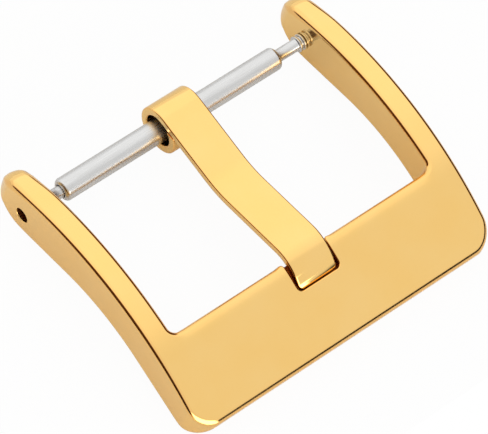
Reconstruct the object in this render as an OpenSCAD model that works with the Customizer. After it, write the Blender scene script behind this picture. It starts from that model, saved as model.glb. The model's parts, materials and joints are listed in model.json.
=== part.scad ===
// Pin buckle for a watch strap: a cast frame, a rolled tongue and a telescoping spring bar.
// X runs along the spring bar, -Y is the front of the buckle, and Z is up.
// The origin lies on the surface that the buckle rests on, under the middle of its outline.
// The shapes are drawn round the spring bar's axis and then moved to that origin.

/* [Strap opening] */
// Clear width between the arms at the spring bar
strap_w = 20; // [16:1:24]
// From the spring bar's axis to the back edge of the front plate
window_l = 11.7; // [10.5:0.1:14]
// Corner radius of the opening, at the plate
window_corner_r = 0.5; // [0.2:0.1:1]
// Angle by which the sides draw in towards the front
side_draft = 0.4; // [0:0.1:1]

/* [Arms and plate] */
// Width of each arm
arm_w = 1.62; // [1.4:0.02:2.4]
// Length of the plate, from its back edge to its front edge
plate_l = 5.5; // [4.4:0.1:7]
// Corner radius of the plate's front corners
plate_corner_r = 1.6; // [0.8:0.1:2.5]
// Radius of the plate's lower front edge
toe_r = 1.6; // [1.2:0.1:2]
// Highest point of the crown, above the spring bar's axis
crown_h = 3.44; // [3:0.02:4]
// Highest point of the crown, in front of the spring bar's axis
crown_l = 7.2; // [6:0.1:8.5]
// Radius of the crown in front of its highest point
crown_front_r = 18.8; // [17:0.2:22]
// Radius of the crown behind its highest point
crown_back_r = 20.8; // [19:0.2:23]
// Centre of the arms' round ends, behind the spring bar's axis
end_back = 0.5; // [0.4:0.05:0.7]
// Centre of the arms' round ends, above the spring bar's axis
end_rise = 0.06; // [0:0.01:0.1]
// Corner radius of the arms' ends, seen from above
end_corner_r = 0.5; // [0.3:0.05:0.7]
// How far the rounding of these corners reaches past the arms' backs
end_spare = 0.1; // [0.05:0.05:0.2]
// Highest point of the hollow underside, above the spring bar's axis
hollow_h = 0.23; // [0:0.01:0.5]
// Highest point of the hollow underside, in front of the spring bar's axis
hollow_l = 8.06; // [7:0.02:9]
// Radius of the hollow underside
hollow_r = 12.6; // [10:0.2:15]
// Slope of the underside below the plate
plate_slope = 14; // [11:0.5:16]

/* [Tongue] */
// Width of the tongue
tongue_w = 2.86; // [2.2:0.02:3.6]
// Thickness of the tongue's strip
tongue_t = 0.53; // [0.4:0.01:0.6]
// Inner radius of the eye, reamed to size after rolling
eye_r = 1.07; // [1.05:0.01:1.2]
// What the reamer takes off the eye, on the radius
ream = 0.02; // [0.01:0.01:0.04]
// Centre of the eye, behind the spring bar's axis
eye_back = -0.08; // [-0.1:0.01:0.1]
// Centre of the eye, above the spring bar's axis
eye_rise = 0.26; // [0.1:0.01:0.27]
// Gap where the rolled end meets the strip
curl_gap = 0.05; // [0.03:0.01:0.1]
// Angle over which the rolled end stands clear of the strip, seen from the eye's centre
curl_open = 35; // [25:1:45]
// Lowest point of the strip's top, in front of the spring bar's axis
dip_l = 4.8; // [4:0.1:6]
// Lowest point of the strip's top, above the spring bar's axis
dip_h = 1.63; // [1.5:0.01:1.8]
// Radius of the strip's dip
dip_r = 6; // [4:0.5:8]
// From the strip's crest back to the plate's back edge
crest_back = 0.25; // [0.1:0.05:0.6]
// Height of the strip's crest above the plate's back edge
crest_over = 0.34; // [0.2:0.02:0.5]
// Radius of the strip's crest
crest_r = 2.3; // [1.8:0.1:3]
// Slope of the strip at its tip
tip_slope = 42; // [40:1:60]
// Straight length at the tip
tip_l = 0.7; // [0.1:0.05:0.8]
// Corner radius of the tip
tip_corner_r = 0.3; // [0.1:0.05:0.6]

/* [Notch] */
// Gap between the tongue and each side of the notch
notch_side_gap = 0.18; // [0.1:0.02:0.4]
// Gap between the tongue's tip and the front of the notch
notch_front_gap = 0.18; // [0.1:0.02:0.4]
// Gap below the tongue's tip
notch_floor_gap = 0.04; // [0.02:0.01:0.2]
// Radius of the notch's inner corners
notch_corner_r = 0.35; // [0.1:0.05:0.6]

/* [Spring bar] */
// Outer diameter of the tube
tube_d = 1.5; // [1.3:0.05:1.6]
// Wall of the tube
tube_wall = 0.2; // [0.15:0.01:0.25]
// Bare length from the left arm to the tube
left_bare_l = 1.3; // [1.2:0.05:1.8]
// Bare length from the right arm to the tube
right_bare_l = 2.05; // [1.8:0.05:2.8]
// Radius of the tube's rolled ends
shoulder_r = 0.28; // [0.15:0.01:0.3]
// Diameter of the stems
stem_d = 0.8; // [0.7:0.02:0.84]
// Running clearance round a stem and round a head, on the radius
bar_clearance = 0.04; // [0.02:0.01:0.06]
// Diameter of the flanges
flange_d = 1.08; // [1.06:0.02:1.3]
// Thickness of each flange
flange_t = 0.16; // [0.12:0.01:0.2]
// Width of the groove between a stem's two flanges
groove_w = 0.15; // [0.1:0.01:0.2]
// Free play between a flange and its arm
flange_play = 0.02; // [0.01:0.01:0.05]
// Diameter of the tips
tip_d = 0.86; // [0.8:0.02:0.88]
// Length of the tips beyond the flanges
tip_reach = 0.72; // [0.5:0.02:0.8]
// Diameter of the holes in the arms
hole_d = 1.0; // [0.96:0.02:1.04]
// Bare stem from the outer flange pair to the head inside the tube
stem_l = 1.95; // [1.9:0.05:2.2]
// Length of the heads inside the tube
head_l = 1.2; // [0.6:0.1:2]

/* [Coil spring] */
// Wire of the coil spring
wire_d = 0.16; // [0.12:0.02:0.2]
// Turns of the coil spring
spring_turns = 20; // [12:1:22]
// Gap between the spring and the tube's bore, on the radius
spring_gap = 0.06; // [0.04:0.01:0.1]

/* [Hidden] */

gold = [0.93, 0.74, 0.42];
steel = [0.78, 0.78, 0.77];
$fn = 96;
fine = 720;
reach = 40;
// Keeps a straight and an arc that run into each other from meeting at an exact tangent
hair = 0.002;

// Side view of the frame: x is the distance behind the spring bar's axis, y the height above it
front_l = window_l + plate_l;
crown_front_c = [-crown_l, crown_h - crown_front_r];
crown_back_c = [-crown_l, crown_h - crown_back_r];
end_c = [end_back, end_rise];
end_r = crown_back_r - norm(end_c - crown_back_c);
end_dir = (end_c - crown_back_c) / norm(end_c - crown_back_c);
hollow_c = [-hollow_l, hollow_h - hollow_r];
hollow_front_p = hollow_c + hollow_r * unit(90 + plate_slope);
toe_c = [toe_r - front_l, hollow_front_p.y
    + (toe_r - (toe_r - front_l - hollow_front_p.x) * cos(90 + plate_slope)) / sin(90 + plate_slope)];
toe_low_p = toe_c + toe_r * unit(270 + plate_slope);
hollow_to_end = end_c - hollow_c;
hollow_back_slope = atan2(hollow_to_end.y, hollow_to_end.x)
    - asin((hollow_r + end_r) / norm(hollow_to_end));
hollow_back_p = hollow_c + hollow_r * unit(90 + hollow_back_slope);
end_low_p = end_c - end_r * unit(90 + hollow_back_slope);

plate_corner_c = side_circle(arm_w, plate_corner_r, plate_corner_r - front_l);
window_corner_c = side_circle(0, window_corner_r, window_corner_r - window_l);

// Tilt with which the buckle rests on its toe and on the arms' ends
rest_tilt = atan2(toe_c.y - end_c.y, end_c.x - toe_c.x) + asin((end_r - toe_r) / norm(toe_c - end_c));

// Place of the spring bar's axis, behind and above the origin
bar_y = ((front_l - end_back) * cos(rest_tilt) + (crown_top(front_l) + end_rise) * sin(rest_tilt)
    - end_r) / 2;
bar_z = end_r - end_back * sin(rest_tilt) - end_rise * cos(rest_tilt);

// Tongue: the radii of its rolled eye, and the circles that its top follows
roll_r = eye_r - ream;
eye_out_r = roll_r + tongue_t;
eye_c = [eye_back, eye_rise];
dip_c = [-dip_l, dip_h + dip_r];
crest_h = crown_top(window_l) + crest_over;
crest_c = [-(window_l - crest_back), crest_h - crest_r];
slope_in = cross_slope(eye_c, eye_out_r, dip_c, dip_r);
slope_out = -cross_slope([-crest_c.x, crest_c.y], crest_r, [-dip_c.x, dip_c.y], dip_r);
tip_turn_p = crest_c + crest_r * unit(90 + tip_slope);
tip_p = tip_turn_p + tip_l * unit(180 + tip_slope);
tip_low_p = tip_p - tongue_t * unit(90 + tip_slope);

// Notch in the plate
notch_w = tongue_w + 2 * notch_side_gap;
notch_front_y = tip_p.x - notch_front_gap;
notch_floor = tip_low_p.y - notch_floor_gap;

// Spring bar: the right plunger is drawn, and the left one is its mirror image
flange_out = strap_w / 2 - flange_play;
flange_in = flange_out - 2 * flange_t - groove_w;
head_out = flange_in - stem_l;
head_in = head_out - head_l;
tube_left = -(strap_w / 2 - left_bare_l);
tube_right = strap_w / 2 - right_bare_l;
bore_r = tube_d / 2 - tube_wall;
head_r = bore_r - bar_clearance;
mouth_r = stem_d / 2 + bar_clearance;
spring_r = bore_r - spring_gap - wire_d / 2;
spring_end = head_in - wire_d / 2 - bar_clearance;
spring_pitch = 2 * spring_end / spring_turns;

echo(str("coil spring: least gap between turns ", spring_pitch - wire_d, " mm"));
echo(str("spring bar: axis at y ", bar_y, ", z ", bar_z, " mm, rest tilt ", rest_tilt, " degrees"));
echo(str("frame: arm ends of radius ", end_r, " mm, toe centre ", toe_c, " mm"));
echo(str("tongue: crest at z ", bar_z + crest_h, ", tip at y ", bar_y + tip_p.x, " mm"));

// A point on the unit circle
function unit(a) = [cos(a), sin(a)];

// Height of the crown's front arc, at a distance in front of the spring bar's axis
function crown_top(l) = crown_front_c.y + sqrt(crown_front_r ^ 2 - (l - crown_l) ^ 2);

// Slope of the line that passes over circle a and under circle b, which lies in front of a
function cross_slope(a, ra, b, rb) =
    atan2(b.y - a.y, a.x - b.x) - asin((ra + rb) / norm(b - a));

// Points along an arc
function arc_points(c, r, a0, a1, n) =
    [for (i = [0 : n]) c + r * unit(a0 + (a1 - a0) * i / n)];

// A point of the right side, from the inner face outwards and from the axis backwards
function side_point(x, y) =
    [strap_w / 2 + x * cos(side_draft) + y * sin(side_draft), y * cos(side_draft) - x * sin(side_draft)];

function flipped(p) = [-p.x, p.y];

// Centre of a circle that touches the right side's line at x, at a height y of the plan
function side_circle(x, r, y) =
    [strap_w / 2 + (x - r + y * sin(side_draft)) / cos(side_draft), y];

module to_place() {
    translate([0, bar_y, bar_z]) rotate([rest_tilt, 0, 0]) children();
}

// Turns a side view into a solid of the given width, centred on X
module across(width) {
    rotate([90, 0, 90]) translate([0, 0, -width / 2]) linear_extrude(width) children();
}

module both_sides() {
    children();
    mirror([1, 0]) children();
}

// What rounding takes off a convex corner of a plan, between two directions from the centre
module corner_cut(c, r, a0, a1) {
    far = (r + 0.5) / cos((a1 - a0) / 2);
    difference() {
        polygon([
            c,
            c + (r + 0.5) * unit(a0),
            c + far * unit((a0 + a1) / 2),
            c + (r + 0.5) * unit(a1)
        ]);
        translate(c) circle(r);
    }
}

// Part of a disc, between two directions from its centre
module sector(c, r, a0, a1) {
    far = 1.2 * r / cos((a1 - a0) / 2);
    intersection() {
        translate(c) circle(r);
        polygon([c, c + far * unit(a0), c + far * unit(a1)]);
    }
}

// The underside's straight parts are the lower edges of the two polygons
module frame_profile() {
    difference() {
        union() {
            intersection() {
                translate(crown_front_c) circle(crown_front_r, $fn = fine);
                polygon([
                    [-front_l, reach],
                    [-front_l, toe_c.y],
                    toe_c,
                    toe_low_p,
                    hollow_front_p,
                    [-crown_l, hollow_h - 2],
                    [-crown_l, reach]
                ]);
            }
            sector(toe_c, toe_r, 180, 270 + plate_slope);
            intersection() {
                translate(crown_back_c) circle(crown_back_r, $fn = fine);
                polygon([
                    [-crown_l, hollow_h - 2],
                    [-crown_l, reach],
                    end_c + 2 * end_r * end_dir,
                    end_c,
                    end_low_p,
                    hollow_back_p
                ]);
            }
            intersection() {
                translate(end_c) circle(end_r);
                polygon([
                    end_c,
                    end_c + 2 * end_r * end_dir,
                    [4 * end_r, 2 * end_r],
                    [4 * end_r, -3 * end_r],
                    end_c - 3 * end_r * unit(90 + hollow_back_slope)
                ]);
            }
        }
        translate(hollow_c) circle(hollow_r, $fn = fine);
    }
}

// What lies beside the frame in its plan
module side_cut() {
    polygon([
        side_point(arm_w, -front_l - 2),
        side_point(3 * arm_w, -front_l - 2),
        side_point(3 * arm_w, end_r + 2),
        side_point(arm_w, end_r + 2)
    ]);
}

// What rounding takes off the outer corner of an arm's end, and off its inner corner
module end_cut(inner) {
    r = end_corner_r;
    y = end_back + end_r + end_spare - r;
    translate([strap_w / 2, 0]) rotate(-side_draft)
        corner_cut([inner ? r - hair : arm_w - r + hair, y], r, inner ? 90 : 0, inner ? 180 : 90);
}

module window_plan() {
    difference() {
        polygon([
            side_point(0, -window_l),
            side_point(0, end_r + 2),
            flipped(side_point(0, end_r + 2)),
            flipped(side_point(0, -window_l))
        ]);
        both_sides() corner_cut(window_corner_c, window_corner_r, -90, -side_draft);
    }
}

module notch_plan() {
    r = notch_corner_r;
    x = notch_w / 2;
    difference() {
        translate([-x, notch_front_y]) square([notch_w, 1 - window_l - notch_front_y]);
        both_sides() corner_cut([x - r, notch_front_y + r], r, -90, 0);
    }
}

// Takes the plan drawn by its children out of the frame, from top to bottom
module through() {
    translate([0, 0, -reach]) linear_extrude(2 * reach) children();
}

module frame() {
    color(gold) to_place() difference() {
        across(strap_w + 3 * arm_w) frame_profile();
        through() window_plan();
        through() both_sides() side_cut();
        through() both_sides() corner_cut(plate_corner_c, plate_corner_r, -90, -side_draft);
        through() both_sides() end_cut(false);
        through() both_sides() end_cut(true);
        translate([0, 0, notch_floor]) linear_extrude(reach) notch_plan();
        rotate([0, 90, 0]) cylinder(h = 2 * reach, d = hole_d, center = true);
    }
}

// Side view of the strip, from inside the eye's ring to the tip
module strip_profile() {
    inside_p = eye_c + 0.3 * unit(-slope_in);
    top = concat(
        [eye_c + eye_out_r * unit(90 - slope_in)],
        arc_points(dip_c, dip_r, 270 - slope_in, 270 - slope_out, 8),
        arc_points(crest_c, crest_r, 90 - slope_out, 90 + tip_slope, 24),
        [tip_p]
    );
    under = concat(
        [tip_low_p],
        arc_points(crest_c, crest_r - tongue_t, 90 + tip_slope, 90 - slope_out, 24),
        arc_points(dip_c, dip_r + tongue_t, 270 - slope_out, 270 - slope_in, 8)
    );
    polygon(concat(
        top,
        under,
        [
            inside_p + roll_r * unit(90 - slope_in),
            inside_p + (roll_r + tongue_t / 2) * unit(90 - slope_in)
        ]
    ));
}

// Side view of the eye: its rolled end stops at a lip just below the strip
module eye_profile() {
    up = 90 - slope_in;
    lip = (roll_r - curl_gap) / cos(curl_open);
    difference() {
        translate(eye_c) circle(eye_out_r - hair);
        polygon([
            eye_c,
            eye_c + 3 * eye_out_r * unit(up + 5),
            eye_c + 4 * eye_out_r * unit(up + 45),
            eye_c + (roll_r - curl_gap) * unit(up) + 3 * eye_out_r * unit(up + 90),
            eye_c + lip * unit(up + curl_open)
        ]);
    }
}

module tongue() {
    tip_corner_c = [tongue_w / 2 - tip_corner_r, tip_p.x + tip_corner_r];
    color(gold) to_place() difference() {
        across(tongue_w) {
            strip_profile();
            eye_profile();
        }
        translate([0, eye_c.x, eye_c.y]) rotate([0, 90, 0])
            cylinder(h = 2 * tongue_w, r = eye_r, center = true);
        linear_extrude(reach) both_sides() corner_cut(tip_corner_c, tip_corner_r, -90, 0);
    }
}

// Half section of the tube, from the axis outwards and along the bar
module tube_section() {
    r = tube_d / 2;
    difference() {
        union() {
            translate([0, tube_left]) square([r - shoulder_r, tube_right - tube_left]);
            translate([0, tube_left + shoulder_r]) square([r, tube_right - tube_left - 2 * shoulder_r]);
            translate([r - shoulder_r, tube_left + shoulder_r]) circle(shoulder_r);
            translate([r - shoulder_r, tube_right - shoulder_r]) circle(shoulder_r);
        }
        translate([-1, tube_left - 1]) square([1 + mouth_r, tube_right - tube_left + 2]);
        translate([-1, tube_left + tube_wall]) square([1 + bore_r, tube_right - tube_left - 2 * tube_wall]);
    }
}

module bar_tube() {
    color(steel) to_place() rotate([0, 90, 0]) rotate_extrude() tube_section();
}

// Half section of a plunger: head, stem, two flanges and the tip with its bevelled end
module plunger_section() {
    tip_r = tip_d / 2;
    bevel = 0.12;
    rim = 0.04;
    tip_end = flange_out + tip_reach;
    polygon([
        [0, head_in],
        [head_r - rim, head_in],
        [head_r, head_in + rim],
        [head_r, head_out],
        [stem_d / 2, head_out],
        [stem_d / 2, flange_in],
        [flange_d / 2 - rim, flange_in],
        [flange_d / 2, flange_in + rim],
        [flange_d / 2, flange_in + flange_t - rim],
        [flange_d / 2 - rim, flange_in + flange_t],
        [stem_d / 2, flange_in + flange_t],
        [stem_d / 2, flange_out - flange_t],
        [flange_d / 2 - rim, flange_out - flange_t],
        [flange_d / 2, flange_out - flange_t + rim],
        [flange_d / 2, flange_out],
        [tip_r, flange_out],
        [tip_r, tip_end - bevel],
        [tip_r - bevel, tip_end],
        [0, tip_end]
    ]);
}

module right_plunger() {
    color(steel) to_place() rotate([0, 90, 0]) rotate_extrude() plunger_section();
}

module left_plunger() {
    color(steel) to_place() rotate([0, -90, 0]) rotate_extrude() plunger_section();
}

// The wire is one tube of six sides, with eight rings to each turn
module coil_spring() {
    sides = 6;
    rings = 8 * spring_turns;
    lean = atan(spring_pitch / (2 * PI * spring_r));
    points = [for (i = [0 : rings], j = [0 : sides - 1])
        let (
            turn = 360 * i / 8,
            a = 360 * j / sides,
            out = spring_r + wire_d / 2 * cos(a),
            up = wire_d / 2 * sin(a)
        )
        [
            -spring_end + spring_pitch * i / 8 + up * cos(lean),
            out * cos(turn) + up * sin(lean) * sin(turn),
            out * sin(turn) - up * sin(lean) * cos(turn)
        ]];
    walls = [for (i = [0 : rings - 1], j = [0 : sides - 1], k = [0, 1])
        let (
            a = i * sides + j,
            b = i * sides + (j + 1) % sides,
            c = b + sides,
            d = a + sides
        )
        k == 0 ? [a, b, c] : [a, c, d]];
    first_cap = [for (j = [1 : sides - 2]) [0, j + 1, j]];
    last_cap = [for (j = [1 : sides - 2]) [rings * sides, rings * sides + j, rings * sides + j + 1]];
    color(steel) to_place() polyhedron(points, concat(walls, first_cap, last_cap));
}

frame();
tongue();
bar_tube();
left_plunger();
right_plunger();
coil_spring();
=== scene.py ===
"""Draws a gold-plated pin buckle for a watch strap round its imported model,
with a studio to show it in."""

import json
from math import acos, asin, atan2, ceil, cos, hypot, pi, radians, sin, sqrt, tan
from types import SimpleNamespace

import bpy
from bpy.props import FloatProperty, FloatVectorProperty, IntProperty, PointerProperty
from bpy.props import StringProperty
from mathutils import Euler, Matrix, Vector
from mathutils.geometry import delaunay_2d_cdt


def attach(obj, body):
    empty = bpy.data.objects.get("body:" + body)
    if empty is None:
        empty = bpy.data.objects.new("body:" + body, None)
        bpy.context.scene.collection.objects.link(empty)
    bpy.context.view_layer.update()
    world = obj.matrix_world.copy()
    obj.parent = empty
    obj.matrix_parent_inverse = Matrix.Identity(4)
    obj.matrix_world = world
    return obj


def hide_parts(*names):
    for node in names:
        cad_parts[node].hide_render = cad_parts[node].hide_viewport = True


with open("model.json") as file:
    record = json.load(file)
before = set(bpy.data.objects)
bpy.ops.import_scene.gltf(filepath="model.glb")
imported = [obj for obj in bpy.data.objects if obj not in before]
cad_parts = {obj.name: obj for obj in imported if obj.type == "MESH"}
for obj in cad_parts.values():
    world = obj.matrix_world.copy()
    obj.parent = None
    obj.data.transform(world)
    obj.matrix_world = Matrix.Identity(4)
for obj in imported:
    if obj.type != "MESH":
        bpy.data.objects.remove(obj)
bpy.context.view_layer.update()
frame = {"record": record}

bl_info = {
    "name": "Watch strap pin buckle",
    "version": (1, 0, 0),
    "blender": (4, 5, 0),
    "location": "3D View > Sidebar > Buckle",
    "description": "Draws the frame, tongue and spring bar of a pin buckle, and a studio for it",
    "category": "Add Mesh",
}

MM = 0.001
# The spring bar's axis passes through this place, and the shapes are drawn round it
BAR_PLACE = Vector(frame["record"]["mounts"][0]["pos_m"])

# How finely the shapes are drawn: distances in millimetres, turns in radians
# and the others as a number of parts
OUTLINE_STEP = 0.3
NOSE_STEP = 0.12
CORNER_TURN = radians(7.5)
EDGE_PARTS = 6
GRID_STEP = 0.25
HOLE_PARTS = 48
HOLE_RIM_PARTS = 4
EYE_TURN = radians(5)
BEND_TURN = radians(4)
STRIP_EDGE_PARTS = 4
STRIP_STEP = 0.02
WELD_REACH = 0.002
BAR_PARTS = 72
SHOULDER_PARTS = 8
BEVEL_PARTS = 6
LIP_PARTS = 4
COIL_PARTS = 24
WIRE_PARTS = 8
# Rows before the tongue's tip. They lie closer towards the end, which keeps the shading flat there
TIP_ROWS = (0.5, 0.3, 0.2, 0.12, 0.06, 0.03, 0.0)


# Sizes and colours

def length(name, description, millimetres):
    """A size, given in millimetres and kept in metres."""
    return FloatProperty(name=name, description=description, default=millimetres * MM,
                         unit="LENGTH")


def angle(name, description, degrees):
    """An angle, given in degrees and kept in radians."""
    return FloatProperty(name=name, description=description, default=radians(degrees),
                         subtype="ANGLE")


def number(name, description, value):
    """A plain number, such as a share, a roughness or a strength."""
    return FloatProperty(name=name, description=description, default=value)


def paint(name, description, hex_value):
    """An sRGB colour as a hex value."""
    return StringProperty(name=name, description=description, default=hex_value)


def in_mm(group):
    """A group's sizes, with the lengths in millimetres."""
    sizes = SimpleNamespace()
    for key, prop in group.bl_rna.properties.items():
        if prop.type in {"FLOAT", "INT"}:
            value = getattr(group, key)
            setattr(sizes, key, value / MM if prop.unit == "LENGTH" else value)
    return sizes


class BuckleFrameSizes(bpy.types.PropertyGroup):
    """Sizes of the frame. In front, behind and above are measured from the spring bar's axis."""
    opening: length("Opening", "Clear width between the arms", 20.0)
    window: length("Window", "Back edge of the plate, in front of the bar", 11.7)
    window_corner: length("Window corner", "Corner radius of the window", 0.5)
    draft: angle("Side draft", "Angle by which the sides draw in towards the front", 0.4)
    arm: length("Arm", "Width of each arm", 1.62)
    plate: length("Plate", "Length of the plate", 5.5)
    plate_corner: length("Plate corner", "Corner radius of the plate", 1.6)
    toe: length("Toe", "Radius of the plate's lower front edge", 1.6)
    crown_height: length("Crown height", "Highest point, above the bar", 3.44)
    crown_front: length("Crown place", "Highest point, in front of the bar", 7.2)
    crown_front_radius: length("Front crown radius", "Radius of the crown's front", 18.8)
    crown_back_radius: length("Back crown radius", "Radius of the crown's back", 20.8)
    end_back: length("End place", "Centre of the arms' round ends, behind the bar", 0.5)
    end_rise: length("End rise", "Centre of the arms' round ends, above the bar", 0.06)
    end_corner: length("End corner", "Corner radius of the arms' ends, seen from above", 0.62)
    end_dome: length("End dome", "How far the arms' ends stand out in their middle", 0.32)
    hollow_height: length("Hollow height", "Highest point of the underside, above the bar", 0.23)
    hollow_front: length(
        "Hollow place", "Highest point of the underside, in front of the bar", 8.06)
    hollow_radius: length("Hollow radius", "Radius of the hollow underside", 12.6)
    plate_slope: angle("Plate slope", "Slope of the underside below the plate", 14.0)
    hole: length("Hole", "Diameter of the holes in the arms", 1.0)
    hole_rim: length("Hole rim", "Radius to which the holes' rims are broken", 0.05)
    edge: length("Edge", "Radius to which the edges are polished", 0.3)
    nose_edge: length("Nose edge", "Radius of the polished edges at the arms' ends", 0.46)
    front_edge: length("Front edge", "Radius of the polished edge at the plate's front", 0.6)
    rolled: length("Rolled band", "Width over which the plate's back edge is buffed down", 0.95)
    rolled_drop: length("Rolled drop", "Drop of the plate's back edge from buffing", 0.12)
    notch_edge: length("Notch edge", "Radius to which the notch's rim is broken", 0.07)
    # Below this depth, the gold in the notch and the bores is painted darker as shade and given a
    # rougher finish
    recess: length(
        "Recess", "Depth at which the buffing wheel no longer reaches into a hole or notch", 0.1)


class BuckleTongueSizes(bpy.types.PropertyGroup):
    """Sizes of the tongue and of its notch."""
    width: length("Width", "Width of the strip", 2.86)
    thickness: length("Thickness", "Thickness of the strip", 0.53)
    eye: length("Eye", "Inner radius of the rolled eye", 1.05)
    eye_back: length("Eye place", "Centre of the eye, behind the bar", -0.08)
    eye_rise: length("Eye rise", "Centre of the eye, above the bar", 0.26)
    curl_gap: length("Curl gap", "Gap between the rolled end and the strip", 0.05)
    curl_open: angle("Curl opening", "Least angle between the rolled end and the strip", 35.0)
    dip_front: length("Dip place", "Lowest point of the strip's top, in front of the bar", 4.8)
    dip_height: length("Dip height", "Lowest point of the strip's top, above the bar", 1.63)
    dip_radius: length("Dip radius", "Radius of the dip", 6.0)
    crest_back: length("Crest place", "Crest, behind the plate's back edge", 0.25)
    crest_over: length("Crest height", "Crest, above the plate's back edge", 0.34)
    crest_radius: length("Crest radius", "Radius of the crest", 2.3)
    tip_slope: angle("Tip slope", "Slope of the strip at its tip", 42.0)
    tip: length("Tip", "Straight length at the tip", 0.78)
    tip_corner: length("Tip corner", "Corner radius of the tip", 0.3)
    edge: length("Edge", "Radius to which the strip's edges are polished", 0.11)
    end_edge: length("End edge", "Width by which the strip's ends are broken", 0.025)
    notch_gap: length("Notch gap", "Gap between the tongue and its notch", 0.18)
    notch_front_gap: length("Front gap", "Gap in front of the tongue's tip", 0.08)
    notch_floor_gap: length("Floor gap", "Gap below the tongue's tip", 0.04)
    notch_corner: length("Notch corner", "Radius of the notch's inner corners", 0.35)
    notch_mouth: length(
        "Notch mouth", "Radius of the notch's corners at the plate's back edge", 0.25)


class BuckleBarSizes(bpy.types.PropertyGroup):
    """Sizes of the spring bar."""
    tube: length("Tube", "Diameter of the tube", 1.5)
    wall: length("Wall", "Wall of the tube", 0.2)
    left_bare: length("Left bare length", "From the left arm to the tube", 1.3)
    right_bare: length("Right bare length", "From the right arm to the tube", 2.05)
    shoulder: length("Shoulder", "Radius of the tube's rolled ends", 0.28)
    stem: length("Stem", "Diameter of the stems", 0.8)
    clearance: length("Clearance", "Running clearance on the radius", 0.04)
    flange: length("Flange", "Diameter of the flanges", 1.08)
    flange_thickness: length("Flange thickness", "Thickness of each flange", 0.16)
    groove: length("Groove", "Width of the groove between two flanges", 0.15)
    play: length("Play", "Free play between a flange and its arm", 0.02)
    tip: length("Tip", "Diameter of the tips", 0.86)
    reach: length("Tip reach", "Length of the tips beyond the flanges", 0.72)
    bare_stem: length("Bare stem", "From the flanges to the head", 1.95)
    head: length("Head", "Length of the heads", 1.2)
    rim: length("Rim", "Radius of the rims of heads and flanges", 0.04)
    bevel: length("Bevel", "Radius of the tips' ends", 0.12)
    burr: length("Burr", "Width by which the remaining sharp edges are broken", 0.01)
    wire: length("Wire", "Wire of the coil spring", 0.16)
    turns: IntProperty(name="Turns", description="Turns of the coil spring", default=20, min=4)
    spring_gap: length("Spring gap", "Gap between the spring and the bore", 0.06)


class BuckleFinishes(bpy.types.PropertyGroup):
    """Colours as they read on the real buckle, and how its finishes vary."""
    gold: paint("Gold", "Polished gold plating", "#FACE7E")
    gold_pale: paint("Pale gold", "Gold plating in its paler patches", "#FCDC9C")
    gold_rim: paint(
        "Rim gold", "Gold plating at the rims, rubbed towards its copper undercoat", "#F0A860")
    # Painted shade: a dark brown gold that stands in for the shade deep in the notch and the bores
    recess_shade_gold: paint(
        "Unbuffed gold", "Gold plating where the buffing wheel doesn't reach", "#8A4A1E")
    patch: length("Patches", "Size of the plating's paler patches", 20 / 7)
    patch_share: number("Patch share", "How far the patches turn pale", 0.2)
    rim_share: number("Rim share", "How far the rims take the rim gold", 0.35)
    buffing: length("Buffing lines", "Distance between the buffing lines", 0.0625)
    wave: length("Waves", "Length of the waves that the buffing wheel leaves", 2.0)
    gold_smooth: number("Smoothest gold", "Roughness between the buffing lines", 0.06)
    gold_rough: number("Roughest gold", "Roughness on the buffing lines", 0.11)
    rim_rough: number("Rim roughness", "Roughness that the rims have besides", 0.04)
    recess_rough: number("Recess roughness", "Roughness that the recesses have besides", 0.35)
    steel: paint("Steel", "Drawn and polished stainless steel", "#D7D7D6")
    steel_dull: number("Dull steel", "Brightness of a drawing line against the steel", 0.88)
    line_share: number("Line share", "How far the drawing lines turn dull", 0.6)
    drawing: length("Drawing lines", "Distance between the drawing lines", 0.05)
    steel_smooth: number("Smoothest steel", "Roughness between the drawing lines", 0.24)
    steel_rough: number("Roughest steel", "Roughness on the drawing lines", 0.34)
    sweep: paint("Sweep", "Paper on which the buckle lies", "#FBFBFA")
    walls: paint("Walls", "Tint of the room's dark walls", "#FFAD60")


class BuckleStudio(bpy.types.PropertyGroup):
    """Camera and light."""
    camera_place: FloatVectorProperty(
        name="Camera", description="Camera, seen from the bar's axis before the resting tilt",
        subtype="TRANSLATION", unit="LENGTH", default=(-0.12074, -0.07455, 0.26317), precision=5)
    camera_turn: FloatVectorProperty(
        name="Turn", description="Turn of the camera, before the resting tilt", subtype="EULER",
        default=(radians(25.3459), radians(-11.4298), radians(-38.1336)))
    focal: FloatProperty(
        name="Focal length", description="Focal length of the lens", default=367.2, unit="CAMERA")
    light: number("Light", "Strength of the light that falls on matt surfaces", 0.88)
    paper: length("Paper", "Side of the square sheet of paper", 70.0)
    paper_front: length(
        "Paper front", "How far the sheet reaches in front of the buckle's middle", 16.0)
    paper_glow: number(
        "Paper glow", "Share of plain white in the paper where it is looked at", 0.95)
    mirrored_glow: number(
        "Mirrored glow", "Share of plain white in the paper where metal mirrors it", 0.1)
    lamp: number(
        "Lamp", "Strength of the lamp in front on the left, as metal mirrors it", 3.5)


SIZE_GROUPS = {
    "buckle_frame": BuckleFrameSizes,
    "buckle_tongue": BuckleTongueSizes,
    "buckle_bar": BuckleBarSizes,
    "buckle_finishes": BuckleFinishes,
    "buckle_studio": BuckleStudio,
}


# The side view, where a point is (distance behind the bar's axis, height above it)

def unit(a):
    """The direction at an angle from straight backwards."""
    return Vector((cos(a), sin(a)))


def cross_slope(a, ra, b, rb):
    """Slope of the line that passes over circle a and under circle b, which lies in front of a."""
    return atan2(b.y - a.y, a.x - b.x) - asin((ra + rb) / (b - a).length)


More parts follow.
